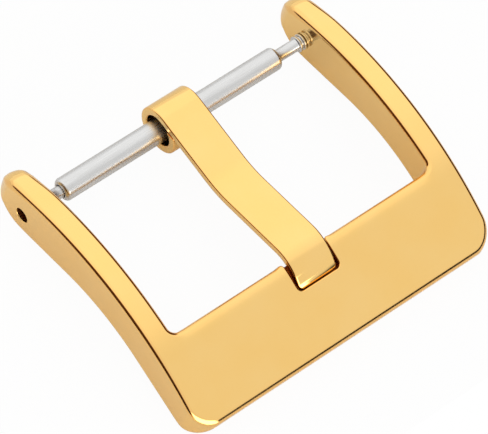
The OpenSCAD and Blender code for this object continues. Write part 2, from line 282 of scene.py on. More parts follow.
class FrameProfile:
    """The frame's top and underside in the side view."""

    def __init__(self, s):
        self.front = s.window + s.plate
        self.crown_front = Vector((-s.crown_front, s.crown_height - s.crown_front_radius))
        self.crown_back = Vector((-s.crown_front, s.crown_height - s.crown_back_radius))
        self.front_radius = s.crown_front_radius
        self.back_radius = s.crown_back_radius
        self.end = Vector((s.end_back, s.end_rise))
        self.end_radius = self.back_radius - (self.end - self.crown_back).length
        self.end_joint = self.end.x + self.end_radius * (self.end - self.crown_back).normalized().x
        self.back = self.end.x + self.end_radius
        self.slope = s.plate_slope
        self.hollow_radius = s.hollow_radius
        self.hollow = Vector((-s.hollow_front, s.hollow_height - s.hollow_radius))
        self.hollow_start = self.hollow + self.hollow_radius * unit(pi / 2 + self.slope)
        across = self.end - self.hollow
        self.back_slope = (atan2(across.y, across.x)
                           - asin((self.hollow_radius + self.end_radius) / across.length))
        self.hollow_stop = self.hollow + self.hollow_radius * unit(pi / 2 + self.back_slope)
        self.end_low = self.end - self.end_radius * unit(pi / 2 + self.back_slope)
        self.toe_radius = s.toe
        toe_x = s.toe - self.front
        lean = pi / 2 + self.slope
        toe_y = (self.hollow_start.y
                 + (s.toe - (toe_x - self.hollow_start.x) * cos(lean)) / sin(lean))
        self.toe = Vector((toe_x, toe_y))
        self.toe_low = self.toe + self.toe_radius * unit(3 * pi / 2 + self.slope)
        reach = self.toe - self.end
        self.rest_tilt = (atan2(reach.y, -reach.x)
                          + asin((self.end_radius - self.toe_radius) / reach.length))

    def top(self, y):
        """Height and normal of the top."""
        if y < self.crown_front.x:
            centre, radius = self.crown_front, self.front_radius
        elif y < self.end_joint:
            centre, radius = self.crown_back, self.back_radius
        else:
            centre, radius = self.end, self.end_radius
        z = centre.y + sqrt(max(radius ** 2 - (y - centre.x) ** 2, 0.0))
        return z, (Vector((y, z)) - centre).normalized()

    def underside(self, y):
        """Height and normal of the underside."""
        if y < self.toe_low.x:
            z = self.toe.y - sqrt(max(self.toe_radius ** 2 - (y - self.toe.x) ** 2, 0.0))
            return z, (Vector((y, z)) - self.toe).normalized()
        if y < self.hollow_start.x:
            return (self.hollow_start.y + (y - self.hollow_start.x) * tan(self.slope),
                    -unit(pi / 2 + self.slope))
        if y < self.hollow_stop.x:
            z = self.hollow.y + sqrt(self.hollow_radius ** 2 - (y - self.hollow.x) ** 2)
            return z, (self.hollow - Vector((y, z))).normalized()
        if y < self.end_low.x:
            return (self.end_low.y + (y - self.end_low.x) * tan(self.back_slope),
                    -unit(pi / 2 + self.back_slope))
        z = self.end.y - sqrt(max(self.end_radius ** 2 - (y - self.end.x) ** 2, 0.0))
        return z, (Vector((y, z)) - self.end).normalized()

    def unrolled(self, height, steps=3000):
        """Distance along the top or the underside, as a rising table of (y, distance)."""
        span = self.front + self.back
        rows, run, last = [], 0.0, None
        for i in range(steps + 1):
            y = -self.front + span * (1 - cos(pi * i / steps)) / 2
            point = Vector((y, height(y)[0]))
            run += (point - last).length if last else 0.0
            rows.append((y, run))
            last = point
        return rows


class TonguePath:
    """The tongue's top, eye and tip in the side view."""

    def __init__(self, s, t):
        profile = FrameProfile(s)
        self.thickness = t.thickness
        self.eye = Vector((t.eye_back, t.eye_rise))
        self.roll = t.eye
        outer = t.eye + t.thickness
        dip = Vector((-t.dip_front, t.dip_height + t.dip_radius))
        crest_top = profile.top(-s.window)[0] + t.crest_over
        crest = Vector((t.crest_back - s.window, crest_top - t.crest_radius))
        self.slope_in = cross_slope(self.eye, outer, dip, t.dip_radius)
        slope_out = -cross_slope(Vector((-crest.x, crest.y)), t.crest_radius,
                                 Vector((-dip.x, dip.y)), t.dip_radius)
        turn = crest + t.crest_radius * unit(pi / 2 + t.tip_slope)
        self.tip = turn + t.tip * unit(pi + t.tip_slope)
        self.tip_slope = t.tip_slope
        self.tip_low = self.tip - t.thickness * unit(pi / 2 + t.tip_slope)
        half = t.thickness / 2
        up = pi / 2 - self.slope_in
        self.lip_gap = self.roll - t.curl_gap
        self.lip_least = t.curl_open
        self.lip = acos(self.lip_gap / outer)
        self.middle = arc(self.eye, self.roll + half, up - 2 * pi + self.lip, up, EYE_TURN)
        self.middle += arc(dip, t.dip_radius + half, 3 * pi / 2 - self.slope_in,
                           3 * pi / 2 - slope_out, BEND_TURN)
        self.middle += arc(crest, t.crest_radius - half, pi / 2 - slope_out,
                           pi / 2 + t.tip_slope, BEND_TURN)
        start = self.middle[-1]
        end = self.tip - half * unit(pi / 2 + t.tip_slope)
        self.middle += [end.lerp(start, left / t.tip) for left in TIP_ROWS]

    def notch(self, t):
        """The notch's half width, its front and its floor."""
        return (t.width / 2 + t.notch_gap, self.tip.x - t.notch_front_gap,
                self.tip_low.y - t.notch_floor_gap)


def arc(centre, radius, start, end, step):
    """Points of an arc."""
    n = max(2, ceil(abs(end - start) / step))
    return [centre + radius * unit(start + (end - start) * i / n) for i in range(n + 1)]


def looked_up(rows, value, column):
    """The other column's value in a table whose two columns both rise."""
    low, high = 0, len(rows) - 1
    if value <= rows[low][column]:
        return rows[low][1 - column]
    if value >= rows[high][column]:
        return rows[high][1 - column]
    while high - low > 1:
        mid = (low + high) // 2
        if rows[mid][column] <= value:
            low = mid
        else:
            high = mid
    share = (value - rows[low][column]) / (rows[high][column] - rows[low][column])
    return rows[low][1 - column] + share * (rows[high][1 - column] - rows[low][1 - column])


# Meshes

def to_object(s):
    """From millimetres round the bar's axis to the object's own frame, in metres."""
    tilt = FrameProfile(s).rest_tilt
    return (Matrix.Translation(BAR_PLACE) @ Matrix.Rotation(tilt, 4, "X")
            @ Matrix.Diagonal((MM, MM, MM, 1.0)))


def linked(obj):
    """The object, now in the scene."""
    bpy.context.scene.collection.objects.link(obj)
    return obj


class Skin:
    """Gathers faces into one closed mesh.
    A corner is (point, normal), and a face turns itself outwards."""

    def __init__(self):
        self.index, self.points, self.faces, self.normals = {}, [], [], []
        self.wear, self.recess = {}, {}

    def vertex(self, point):
        """The number of a point. Points within a hundredth of a micron are one."""
        key = tuple(round(v, 5) for v in point)
        if key not in self.index:
            self.index[key] = len(self.points)
            self.points.append(Vector(point))
        return self.index[key]

    def face(self, corners):
        """Adds a face, unless too many of its corners are one point."""
        ids, normals = [], []
        for point, normal in corners:
            i = self.vertex(point)
            if i not in ids:
                ids.append(i)
                normals.append(Vector(normal))
        if len(ids) < 3:
            return
        facing = Vector((0.0, 0.0, 0.0))
        first = self.points[ids[0]]
        for a, b in zip(ids[1:], ids[2:]):
            facing += (self.points[a] - first).cross(self.points[b] - first)
        if facing.dot(sum(normals, Vector((0.0, 0.0, 0.0)))) < 0:
            ids.reverse()
            normals.reverse()
        self.faces.append(ids)
        self.normals.extend(normals)

    def strip(self, rows, closed=False):
        """Quads between rows that have the same number of corners."""
        pairs = list(zip(rows, rows[1:])) + ([(rows[-1], rows[0])] if closed else [])
        for a, b in pairs:
            for i in range(len(a) - 1):
                self.face([a[i], a[i + 1], b[i + 1], b[i]])

    def rub(self, rows):
        """Marks the middle of each row as an edge that is rubbed."""
        for row in rows:
            for k, (point, _) in enumerate(row):
                self.wear[self.vertex(point)] = sin(pi * k / (len(row) - 1))

    def mark_shaded_matt_recess(self, points):
        """Marks points deep in the notch and the bores, where the gold is painted darker as shade
        and made rougher.
        """
        for point in points:
            self.recess[self.vertex(point)] = 1.0

    def patch(self, flat, outline, inner, lift, ring=()):
        """Triangles inside an outline and outside a ring, through the inner places.
        flat lays a point on the plane, and lift takes a place off it."""
        corners = list(outline) + [None] * len(inner) + list(ring)
        places = [Vector(flat(point)) for point, _ in outline]
        places += [Vector(place) for place in inner]
        places += [Vector(flat(point)) for point, _ in ring]
        n, first = len(outline), len(outline) + len(inner)
        edges = [(i, (i + 1) % n) for i in range(n)]
        edges += [(first + i, first + (i + 1) % len(ring)) for i in range(len(ring))]
        only_inside, least = 1, 1e-6
        points, _, triangles, origins, _, _ = delaunay_2d_cdt(
            places, edges, [list(range(n))], only_inside, least)
        made = []
        for i, place in enumerate(points):
            known = [corners[o] for o in origins[i] if corners[o]]
            made.append(known[0] if known else lift(place))
        hole = {i for i, sources in enumerate(origins) if any(o >= first for o in sources)}
        for triangle in triangles:
            if not hole.issuperset(triangle):
                self.face([made[i] for i in triangle])

    def corner_points(self):
        """The number of the point at each corner of the faces, in the order of the normals."""
        return [i for ids in self.faces for i in ids]

    def made(self, name, place, material):
        """The finished mesh object, with its place in its mesh."""
        mesh = bpy.data.meshes.new(name)
        mesh.from_pydata([place @ point for point in self.points], [], self.faces)
        mesh.shade_smooth()
        turn = place.to_3x3().normalized()
        mesh.normals_split_custom_set([(turn @ normal).normalized() for normal in self.normals])
        for label, values in (("wear", self.wear), ("recess", self.recess)):
            mark(mesh, label, [values.get(i, 0.0) for i in range(len(self.points))])
        mesh.materials.append(material)
        return linked(bpy.data.objects.new(name, mesh))


def mark(mesh, name, values):
    """Keeps a value for each point, for the material to read."""
    attribute = mesh.attributes.new(name, "FLOAT", "POINT")
    attribute.data.foreach_set("value", values)


# The frame

# Where the polished edge's radius starts to grow in front of the bar, and how far before the
# arms' ends it stops growing
NOSE_EDGE_START, NOSE_EDGE_STOP = 0.9, 0.7
# Share of a wall's height that a polished edge may take
EDGE_ROOM = 0.96
# Two faces that meet at less than this angle, in radians, have no edge to polish
LEAST_TURN = 0.02
# Where the arms' ends start to swell, behind the bar
DOME_START = 0.4
# The buffed band on the plate's back edge: how steeply it falls, how deep below the crown it may
# lie, how far from the arms it stops and over which width it fades towards them
ROLL_POWER, ROLL_DEPTH, ROLL_SIDE, ROLL_FADE = 3, 1.2, 0.15, 0.9
# Metal round a hole that is drawn along with it, and how far inside an arm's face still counts
DRILLED_MARGIN, ARM_SLACK = 0.35, 0.5


def side(start, end, normal, step=OUTLINE_STEP):
    """A straight stretch of the outline, with normals that point out of the metal."""
    n = max(1, ceil((end - start).length / step))
    return [(start.lerp(end, i / n), normal) for i in range(n + 1)]


def round_corner(centre, radius, start, end, hollow=False):
    """A corner of the outline, with normals that point out of the metal."""
    points = arc(centre, radius, start, end, CORNER_TURN)
    sign = -1 if hollow else 1
    return [(point, sign * (point - centre).normalized()) for point in points]


def outline_half(s, t, notched):
    """The right half of the frame's outline from above, from the middle of the front to the
    middle of the window. It comes with the number of its points that the notch leaves alone."""
    profile = FrameProfile(s)
    half, notch_front, _ = TonguePath(s, t).notch(t)
    nose = s.end_corner
    out = Vector((cos(s.draft), -sin(s.draft)))
    along = Vector((sin(s.draft), cos(s.draft)))
    arm_line = Vector((s.opening / 2, 0.0)) + along * (profile.back - nose)
    outer_turn, inner_turn = arm_line + out * (s.arm - nose), arm_line + out * nose

    def touching(x, radius, y):
        """Centre of a circle that touches the side's line at x."""
        return Vector((s.opening / 2 + (x - radius + y * sin(s.draft)) / cos(s.draft), y))

    corner = touching(s.arm, s.plate_corner, s.plate_corner - profile.front)
    inner = touching(0.0, s.window_corner, s.window_corner - s.window)
    front, back = Vector((0.0, -1.0)), Vector((0.0, 1.0))
    mouth = Vector((half + t.notch_mouth, -s.window))
    path = side(Vector((0.0, -profile.front)), Vector((corner.x, -profile.front)), front)
    path += round_corner(corner, s.plate_corner, -pi / 2, -s.draft)
    path += side(corner + s.plate_corner * out, outer_turn + nose * out, out)
    path += round_corner(outer_turn, nose, -s.draft, pi / 2 - s.draft)
    path += side(outer_turn + nose * along, inner_turn + nose * along, along, NOSE_STEP)
    path += round_corner(inner_turn, nose, pi / 2 - s.draft, pi - s.draft)
    path += side(inner_turn - nose * out, inner + s.window_corner * out, -out)
    path += round_corner(inner, s.window_corner, -s.draft, -pi / 2, hollow=True)
    path += side(Vector((inner.x, -s.window)), mouth, back)
    path = without_doubles(path)
    shared = len(path)
    if notched:
        deep = Vector((half - t.notch_corner, notch_front + t.notch_corner))
        turn = mouth - Vector((0.0, t.notch_mouth))
        path += round_corner(turn, t.notch_mouth, pi / 2, pi)
        path += side(Vector((half, turn.y)), Vector((half, deep.y)), Vector((-1.0, 0.0)))
        path += round_corner(deep, t.notch_corner, 0.0, -pi / 2, hollow=True)
        path += side(Vector((deep.x, notch_front)), Vector((0.0, notch_front)), back)
    else:
        path += side(mouth, Vector((0.0, -s.window)), back)
    return without_doubles(path), shared


def without_doubles(path):
    """The outline without the points where one stretch ends and the next begins."""
    kept = []
    for point, normal in path:
        if not kept or (point - kept[-1][0]).length > 1e-5:
            kept.append((point, normal))
    return kept


def whole_outline(half):
    """A closed outline from its right half."""
    left = [(Vector((-p.x, p.y)), Vector((-n.x, n.y))) for p, n in reversed(half[1:-1])]
    return half + left


def polished_edge(height, up, point, wall, radius, room):
    """The rounded edge between the top or the underside and a wall, as a row from one to the
    other. It reaches down the wall no further than there is room."""
    z, flat = height(point.y)
    surface = Vector((0.0, flat.x, flat.y))
    upright = Vector((wall.x, wall.y, 0.0))
    turn = surface.angle(upright)
    tangent = radius * tan(turn / 2)
    back = tangent * cos(atan2(surface.dot(upright), abs(surface.z)))
    inside = point - back * wall
    z_inside, flat_inside = height(inside.y)
    start_normal = Vector((0.0, flat_inside.x, flat_inside.y))
    start = Vector((inside.x, inside.y, z_inside))
    corner = Vector((point.x, point.y, z))
    end = corner - Vector((0.0, 0.0, up * min(tangent, room)))
    row = []
    for k in range(EDGE_PARTS + 1):
        u = k / EDGE_PARTS
        a, b, c = (1 - u) ** 2, 2 * u * (1 - u) * cos(turn / 2), u ** 2
        between = start_normal.lerp if turn < LEAST_TURN else start_normal.slerp
        normal = between(upright, u)
        row.append(((a * start + b * corner + c * end) / (a + b + c), normal.normalized()))
    return row


def eased(share):
    """A share between 0 and 1 that starts and stops gently."""
    share = min(max(share, 0.0), 1.0)
    return share ** 2 * (3 - 2 * share)


def edge_radius(s, profile, point, notch):
    """Radius of the polished edge, which grows towards the arms' ends and the plate's front,
    and shrinks at the notch. The notch is given as its half width and its mouth's radius."""
    half, mouth = notch
    beside = half + 2 * mouth
    if abs(point.x) < beside and point.y > -s.window - s.plate / 2:
        other, share = s.notch_edge, (beside - abs(point.x)) / (2 * mouth)
    elif point.y < -s.window:
        other = s.front_edge
        share = (s.plate_corner - profile.front - point.y) / s.plate_corner
    else:
        other = s.nose_edge
        share = ((point.y + NOSE_EDGE_START)
                 / (profile.back - NOSE_EDGE_STOP + NOSE_EDGE_START))
    return s.edge + (other - s.edge) * eased(share)


def inside_grid(rim, step):
    """Points of a grid that keep half a step away from the rim's points."""
    cells = {}
    for x, y in rim:
        cells.setdefault((round(x / step), round(y / step)), []).append((x, y))
    wide = ceil(max(abs(x) for x, _ in rim) / step)
    low, high = min(y for _, y in rim), max(y for _, y in rim)
    points = []
    for i in range(-wide, wide + 1):
        for j in range(int(low / step), ceil(high / step) + 1):
            near = [other for a in (-1, 0, 1) for b in (-1, 0, 1)
                    for other in cells.get((i + a, j + b), ())]
            if all(hypot(i * step - x, j * step - y) > 0.5 * step for x, y in near):
                points.append((i * step, j * step))
    return points


def frame_skin(s, t):
    """The frame: top and underside with their polished edges, walls, notch and drilled holes."""
    profile = FrameProfile(s)
    skin = Skin()
    edges = []
    for height, up, notched in ((profile.top, 1, True), (profile.underside, -1, False)):
        half, shared = outline_half(s, t, notched)
        notch = (TonguePath(s, t).notch(t)[0], t.notch_mouth) if notched else (0.0, 0.0)
        rows = []
        for point, wall in whole_outline(half):
            room = EDGE_ROOM * (profile.top(point.y)[0] - profile.underside(point.y)[0])
            radius = edge_radius(s, profile, point, notch)
            rows.append(polished_edge(height, up, point, wall, radius, room))
        skin.strip(rows, closed=True)
        skin.rub(rows)
        table = profile.unrolled(height)

        def flat(point, table=table):
            return point[0], looked_up(table, point[1], 0)

        def lift(place, table=table, height=height):
            y = looked_up(table, place[1], 1)
            z, normal = height(y)
            return Vector((place[0], y, z)), Vector((0.0, normal.x, normal.y))

        rim = [row[0] for row in rows]
        grid = inside_grid([flat(point) for point, _ in rim], GRID_STEP)
        skin.patch(flat, rim, grid, lift)
        edges.append([row[-1] for row in rows])
    top, under = edges
    frame_walls(skin, s, t, top, under, shared)
    roll_back_edge(skin, s)
    dome_ends(skin, s, profile)
    return skin


def dome_ends(skin, s, profile):
    """Swells the middle of the arms' ends backwards, so that they are round from above as well."""
    middle, half = (s.opening + s.arm) / 2, s.arm / 2
    reach = profile.back - DOME_START

    def swell(point):
        """How far a point moves back, and the slopes of that along x and y."""
        across = (abs(point.x) - middle) / half
        share = min(max((point.y - DOME_START) / reach, 0.0), 1.0)
        if share == 0.0 or abs(across) > 1.0:
            return 0.0, 0.0, 0.0
        rise, crown = share ** 2, 1 - across ** 2
        right = 1 if point.x > 0 else -1
        return (s.end_dome * rise * crown, -2 * s.end_dome * rise * across * right / half,
                2 * s.end_dome * share / reach * crown)

    swells = [swell(point) for point in skin.points]
    for k, i in enumerate(skin.corner_points()):
        _, along, back = swells[i]
        n = skin.normals[k]
        backwards = n.y / (1 + back)
        skin.normals[k] = Vector((n.x - along * backwards, backwards, n.z)).normalized()
    for point, (move, _, _) in zip(skin.points, swells):
        point.y += move


def roll_back_edge(skin, s):
    """Lowers the plate's top towards its back edge, where the buffing wheel rolls over it."""
    reach = s.opening / 2 - ROLL_SIDE
    least = -0.01

    def slump(point):
        """Drop of the top, and its slopes along x and y."""
        into = -s.window - point.y
        inside = least < into < s.rolled and abs(point.x) <= reach
        if not inside or point.z < s.crown_height - ROLL_DEPTH:
            return 0.0, 0.0, 0.0
        share = min((reach - abs(point.x)) / ROLL_FADE, 1.0)
        kept = eased(share)
        kept_slope = -6 * share * (1 - share) / ROLL_FADE * (1 if point.x > 0 else -1)
        left = 1 - into / s.rolled
        drop = s.rolled_drop * left ** ROLL_POWER
        fall = ROLL_POWER * drop / left / s.rolled if left > 0 else 0.0
        return drop * kept, drop * kept_slope, fall * kept

    slumps = [slump(point) for point in skin.points]
    for k, i in enumerate(skin.corner_points()):
        _, along, back = slumps[i]
        n = skin.normals[k]
        skin.normals[k] = (n + n.z * Vector((along, back, 0.0))).normalized()
    for point, (drop, _, _) in zip(skin.points, slumps):
        point.z -= drop


def frame_walls(skin, s, t, top, under, shared):
    """Upright walls between the edges, which the top and the underside share outside the notch."""
    floor = TonguePath(s, t).notch(t)[2]
    zone = s.hole / 2 + DRILLED_MARGIN
    last = shared - 1
    pocket = list(range(last, len(top) - last + 1))
    low = {i: Vector((top[i][0].x, top[i][0].y, floor)) for i in pocket}
    deep = {i: top[i][0] - Vector((0.0, 0.0, s.recess)) for i in pocket}
    beside = {k: [(deep[i], top[i][1]), (low[i], top[i][1])]
              for k, i in ((last, last), (-last, pocket[-1]))}
    drilled = {}
    for i in list(range(last)) + list(range(-last, 0)):
        a, b, c, d = top[i], top[i + 1], under[i + 1], under[i]
        x = a[0].x
        if max(abs(a[0].y), abs(b[0].y)) < zone and abs(x) > s.opening / 2 - ARM_SLACK:
            face = (x > 0, abs(x) > (s.opening + s.arm) / 2)
            drilled.setdefault(face, []).append((a, b, c, d))
        else:
            skin.face([a, b, *beside.get(i + 1, []), c, d, *beside.get(i, [])[::-1]])
    for (right, outer), quads in drilled.items():
        drill(skin, hole_rings(s, 1 if right else -1, outer), quads)
    for sign in (1, -1):
        line_bore(skin, s, sign)
    for i in pocket[:-1]:
        for upper, lower in (({i: top[i][0], i + 1: top[i + 1][0]}, deep), (deep, low)):
            skin.face([(upper[i], top[i][1]), (upper[i + 1], top[i + 1][1]),
                       (lower[i + 1], top[i + 1][1]), (lower[i], top[i][1])])
    # The notch's walls below the recess depth and its floor get painted shade and a rougher finish
    skin.mark_shaded_matt_recess([*deep.values(), *low.values()])
    skin.face([(low[i], Vector((0.0, 0.0, 1.0))) for i in pocket])
    back = Vector((0.0, 1.0, 0.0))
    wall = [(low[pocket[0]], back), (low[pocket[-1]], back)]
    wall += [under[i] for i in range(len(under) - last, last - 1, -1)]
    skin.face(wall)


def hole_rings(s, arm, outer):
    """The rounded rim of a hole at one face of an arm, as rings from the face to the bore.
    The right arm is 1 and the left arm -1."""
    sign = 1 if outer else -1
    wall = Vector((arm * sign * cos(s.draft), -sign * sin(s.draft), 0.0))
    base = s.opening / 2 + (s.arm / cos(s.draft) if outer else 0.0)
    rings = []
    for k in range(HOLE_RIM_PARTS + 1):
        turn = pi / 2 * k / HOLE_RIM_PARTS
        radius = s.hole / 2 + s.hole_rim * (1 - sin(turn))
        depth = s.hole_rim * (1 - cos(turn))
        ring = []
        for i in range(HOLE_PARTS):
            a = 2 * pi * i / HOLE_PARTS
            outward = Vector((0.0, cos(a), sin(a)))
            x = base + radius * outward.y * tan(s.draft) - sign * depth
            point = Vector((arm * x, radius * outward.y, radius * outward.z))
            ring.append((point, (wall * cos(turn) - outward * sin(turn)).normalized()))
        rings.append(ring)
    return rings


def drill(skin, rings, quads):
    """The piece of an arm's wall round its hole."""
    upper = [quads[0][0]] + [quad[1] for quad in quads]
    lower = [quads[0][3]] + [quad[2] for quad in quads]
    normal = rings[0][0][1]

    def flat(point):
        return point[1], point[2]

    def lift(place):
        return Vector((0.0, *place)), normal

    skin.patch(flat, upper + lower[::-1], (), lift, rings[0])
    skin.strip([ring + ring[:1] for ring in rings])


def line_bore(skin, s, arm):
    """The bore through an arm."""
    inner, outer = (hole_rings(s, arm, face)[-1] for face in (False, True))
    inward = Vector((arm * s.recess, 0.0, 0.0))
    deep_inner = [(point + inward, normal) for point, normal in inner]
    deep_outer = [(point - inward, normal) for point, normal in outer]
    skin.strip([ring + ring[:1] for ring in (inner, deep_inner, deep_outer, outer)])
    # The inner part of the bore gets painted shade and a rougher finish
    skin.mark_shaded_matt_recess([point for point, _ in deep_inner + deep_outer])


# The tongue

def new_group(name, inputs):
    """A Geometry Nodes tree with named inputs, and its input and output nodes."""
    tree = bpy.data.node_groups.new(name, "GeometryNodeTree")
    tree.interface.new_socket("Geometry", in_out="INPUT", socket_type="NodeSocketGeometry")
    for label, kind in inputs:
        tree.interface.new_socket(label, in_out="INPUT", socket_type=kind)
    tree.interface.new_socket("Geometry", in_out="OUTPUT", socket_type="NodeSocketGeometry")
    return tree, tree.nodes.new("NodeGroupInput"), tree.nodes.new("NodeGroupOutput")


def add(tree, kind, settings=None, **links):
    """Adds a node. Its settings are properties of the node, and its links are values or
    sockets for the inputs of that name, or of that number where names repeat."""
    node = tree.nodes.new(kind)
    for key, value in (settings or {}).items():
        setattr(node, key, value)
    for key, value in links.items():
        named = [socket for socket in node.inputs
                 if socket.name.replace(" ", "_") == key and socket.enabled]
        socket = named[0] if named else node.inputs[int(key[1:])]
        if isinstance(value, bpy.types.NodeSocket):
            tree.links.new(value, socket)
        else:
            socket.default_value = value
    return node


def grown(obj, tree, values):
    """Runs a tree on an object and gives the result as a plain mesh object."""
    modifier = obj.modifiers.new("Grow", "NODES")
    modifier.node_group = tree
    for item in tree.interface.items_tree:
        if item.in_out == "INPUT" and item.name in values:
            modifier[item.identifier] = values[item.name]
    obj.update_tag()
    bpy.context.view_layer.update()
    evaluated = obj.evaluated_get(bpy.context.evaluated_depsgraph_get())
    mesh = bpy.data.meshes.new_from_object(evaluated)
    mesh.name = name = obj.name
    bpy.data.objects.remove(obj)
    return linked(bpy.data.objects.new(name, mesh))


def finished_tree(tree, source, output, material):
    """Ends a tree with real geometry and its material."""
    smooth = add(tree, "GeometryNodeSetShadeSmooth", Geometry=source)
    real = add(tree, "GeometryNodeRealizeInstances", Geometry=smooth.outputs[0])
    painted = add(tree, "GeometryNodeSetMaterial", Geometry=real.outputs[0], Material=material)
    tree.links.new(painted.outputs[0], output.inputs[0])


def strip_tree():
    """Bends a flat strip with polished edges along a curve."""
    tree, start, end = new_group("Bent strip", (
        ("Width", "NodeSocketFloat"), ("Thickness", "NodeSocketFloat"),
        ("Edge", "NodeSocketFloat"), ("Material", "NodeSocketMaterial")))
    size = add(tree, "GeometryNodeCurvePrimitiveQuadrilateral",
               Width=start.outputs["Width"], Height=start.outputs["Thickness"])
    section = add(tree, "GeometryNodeFilletCurve", {"mode": "POLY"}, Curve=size.outputs[0],
                  Count=STRIP_EDGE_PARTS, Radius=start.outputs["Edge"])
    swept = add(tree, "GeometryNodeCurveToMesh", Curve=start.outputs["Geometry"],
                Profile_Curve=section.outputs[0], Fill_Caps=True)
    finished_tree(tree, swept.outputs[0], end, start.outputs["Material"])
    return tree


def path_curve(name, points):
    """An open curve through points of the side view."""
    curve = bpy.data.curves.new(name, "CURVE")
    curve.dimensions = "3D"
    spline = curve.splines.new("POLY")
    spline.points.add(len(points) - 1)
    for place, point in zip(spline.points, points):
        place.co = (0.0, point.x, point.y, 1.0)
    return linked(bpy.data.objects.new(name, curve))


def clear_points(points):
    """The points of a path that keep their distance from the one before."""
    kept = [points[0]]
    for point in points[1:]:
        if (point - kept[-1]).length > STRIP_STEP:
            kept.append(point)
    return kept


def shape_lip(path, y, z):
    """Cuts the rolled end so that its face lies along the strip, as it does after rolling."""
    away = Vector((y, z)) - path.eye
    radius = away.length
    up = pi / 2 - path.slope_in
    behind = (up - atan2(away.y, away.x)) % (2 * pi)
    start, end = 1.5 * pi, 2 * pi - path.lip
    slack = 0.02
    if not start < behind < end + slack or radius > path.roll + path.thickness + slack:
        return y, z
    wanted = 2 * pi - max(acos(min(path.lip_gap / radius, 1.0)), path.lip_least)
    turned = up - start - (behind - start) * (wanted - start) / (end - start)
    place = path.eye + radius * unit(turned)
    return place.x, place.y


def shape_tongue(mesh, s, t):
    """Rounds the tip's corners and cuts the rolled end."""
    path = TonguePath(s, t)
    ahead = -unit(path.tip_slope)
    tip_reach, eye_reach = 1.0, 2.0
    for vertex in mesh.vertices:
        x, y, z = vertex.co
        to_tip = (path.tip - Vector((y, z))).dot(ahead)
        if to_tip < t.tip_corner and y < path.tip.x + tip_reach:
            reach = t.tip_corner - max(to_tip, 0.0)
            inset = t.tip_corner - sqrt(max(t.tip_corner ** 2 - reach ** 2, 0.0))
            x *= 1 - inset / (t.width / 2)
        elif y > path.eye.x - eye_reach and z < path.eye.y + path.roll:
            y, z = shape_lip(path, y, z)
        vertex.co = (x, y, z)


def strip_wear(mesh, t):
    """Marks the strip's long edges as rubbed, between its top or underside and its sides."""
    low, high = t.width / 2 - t.edge, t.width / 2 - 0.01 * t.edge
    mark(mesh, "wear", [float(low < abs(vertex.co.x) < high) for vertex in mesh.vertices])


def finish_edges(obj, width, steps, degrees):
    """Breaks the edges that are still sharper than an angle and keeps the flats flat."""
    bevel = obj.modifiers.new("Broken edges", "BEVEL")
    bevel.width, bevel.segments, bevel.limit_method = width * MM, steps, "ANGLE"
    bevel.angle_limit = radians(degrees)
    weld = obj.modifiers.new("Welded corners", "WELD")
    weld.merge_threshold = WELD_REACH * MM
    even = obj.modifiers.new("Flat flats", "WEIGHTED_NORMAL")
    even.weight = 100
    even.keep_sharp = False


# The spring bar

def lathe(name, section, place, material):
    """Turns a half section of (distance along the bar, radius) round the bar's axis.
    It is closed by a point on the axis at both ends, or else by its last and first ring."""
    points, faces, rings = [], [], []
    turns = [2 * pi * i / BAR_PARTS for i in range(BAR_PARTS)]
    for x, radius in section:
        ring = [(x, radius * cos(a), radius * sin(a)) for a in (turns if radius else turns[:1])]
        rings.append(range(len(points), len(points) + len(ring)))
        points += ring
    closed = section[0][1] > 0.0
    for a, b in list(zip(rings, rings[1:])) + ([(rings[-1], rings[0])] if closed else []):
        for i in range(BAR_PARTS):
            j = (i + 1) % BAR_PARTS
            if len(a) == 1:
                faces.append((a[0], b[j], b[i]))
            elif len(b) == 1:
                faces.append((a[i], a[j], b[0]))
            else:
                faces.append((a[i], a[j], b[j], b[i]))
    mesh = bpy.data.meshes.new(name)
    mesh.from_pydata([place @ Vector(point) for point in points], [], faces)
    mesh.shade_smooth()
    mesh.materials.append(material)
    return linked(bpy.data.objects.new(name, mesh))


def turned_corner(x, radius, size, start, end, parts=LIP_PARTS):
    """A rounded corner of a half section, with its centre at (x, radius)."""
    turns = [start + (end - start) * k / parts for k in range(parts + 1)]
    return [(x + size * cos(a), radius + size * sin(a)) for a in turns]


def tube_section(b):
    """The tube, whose ends are rolled in over the stems' shoulders."""
    outer, bore = b.tube / 2, b.tube / 2 - b.wall
    mouth = b.stem / 2 + b.clearance
    round_end = b.shoulder
    lip = outer - round_end - mouth
    section = turned_corner(b.left + round_end, outer - round_end, round_end, pi, pi / 2,
                            SHOULDER_PARTS)
    section += turned_corner(b.right - round_end, outer - round_end, round_end, pi / 2, 0.0,
                             SHOULDER_PARTS)
    # A lip's first or last point is already there, as an end of the shoulder
    section += turned_corner(b.right - lip, mouth + lip, lip, 0.0, -pi / 2)[1:]
    section += [(b.right - b.wall, mouth), (b.right - b.wall, bore)]
    section += [(b.left + b.wall, bore), (b.left + b.wall, mouth)]
    section += turned_corner(b.left + lip, mouth + lip, lip, 3 * pi / 2, pi)[:-1]
    return section


def plunger_section(b):
    """A plunger from its head to its tip: stem, two flanges and the bevelled tip."""
    stem, flange, tip = b.stem / 2, b.flange / 2, b.tip / 2
    head = b.tube / 2 - b.wall - b.clearance
    rim, bevel, thick = b.rim, b.bevel, b.flange_thickness
    end = b.flange_out + b.reach
    section = [(b.head_in, 0.0)]
    section += turned_corner(b.head_in + rim, head - rim, rim, pi, pi / 2)
    section += [(b.head_out, head), (b.head_out, stem)]
    for start in (b.flange_in, b.flange_out - thick):
        section += [(start, stem)]
        section += turned_corner(start + rim, flange - rim, rim, pi, pi / 2)
        section += turned_corner(start + thick - rim, flange - rim, rim, pi / 2, 0.0)
        section += [(start + thick, stem if start == b.flange_in else tip)]
    section += turned_corner(end - bevel, tip - bevel, bevel, pi / 2, 0.0, BEVEL_PARTS)
    section += [(end, 0.0)]
    return section


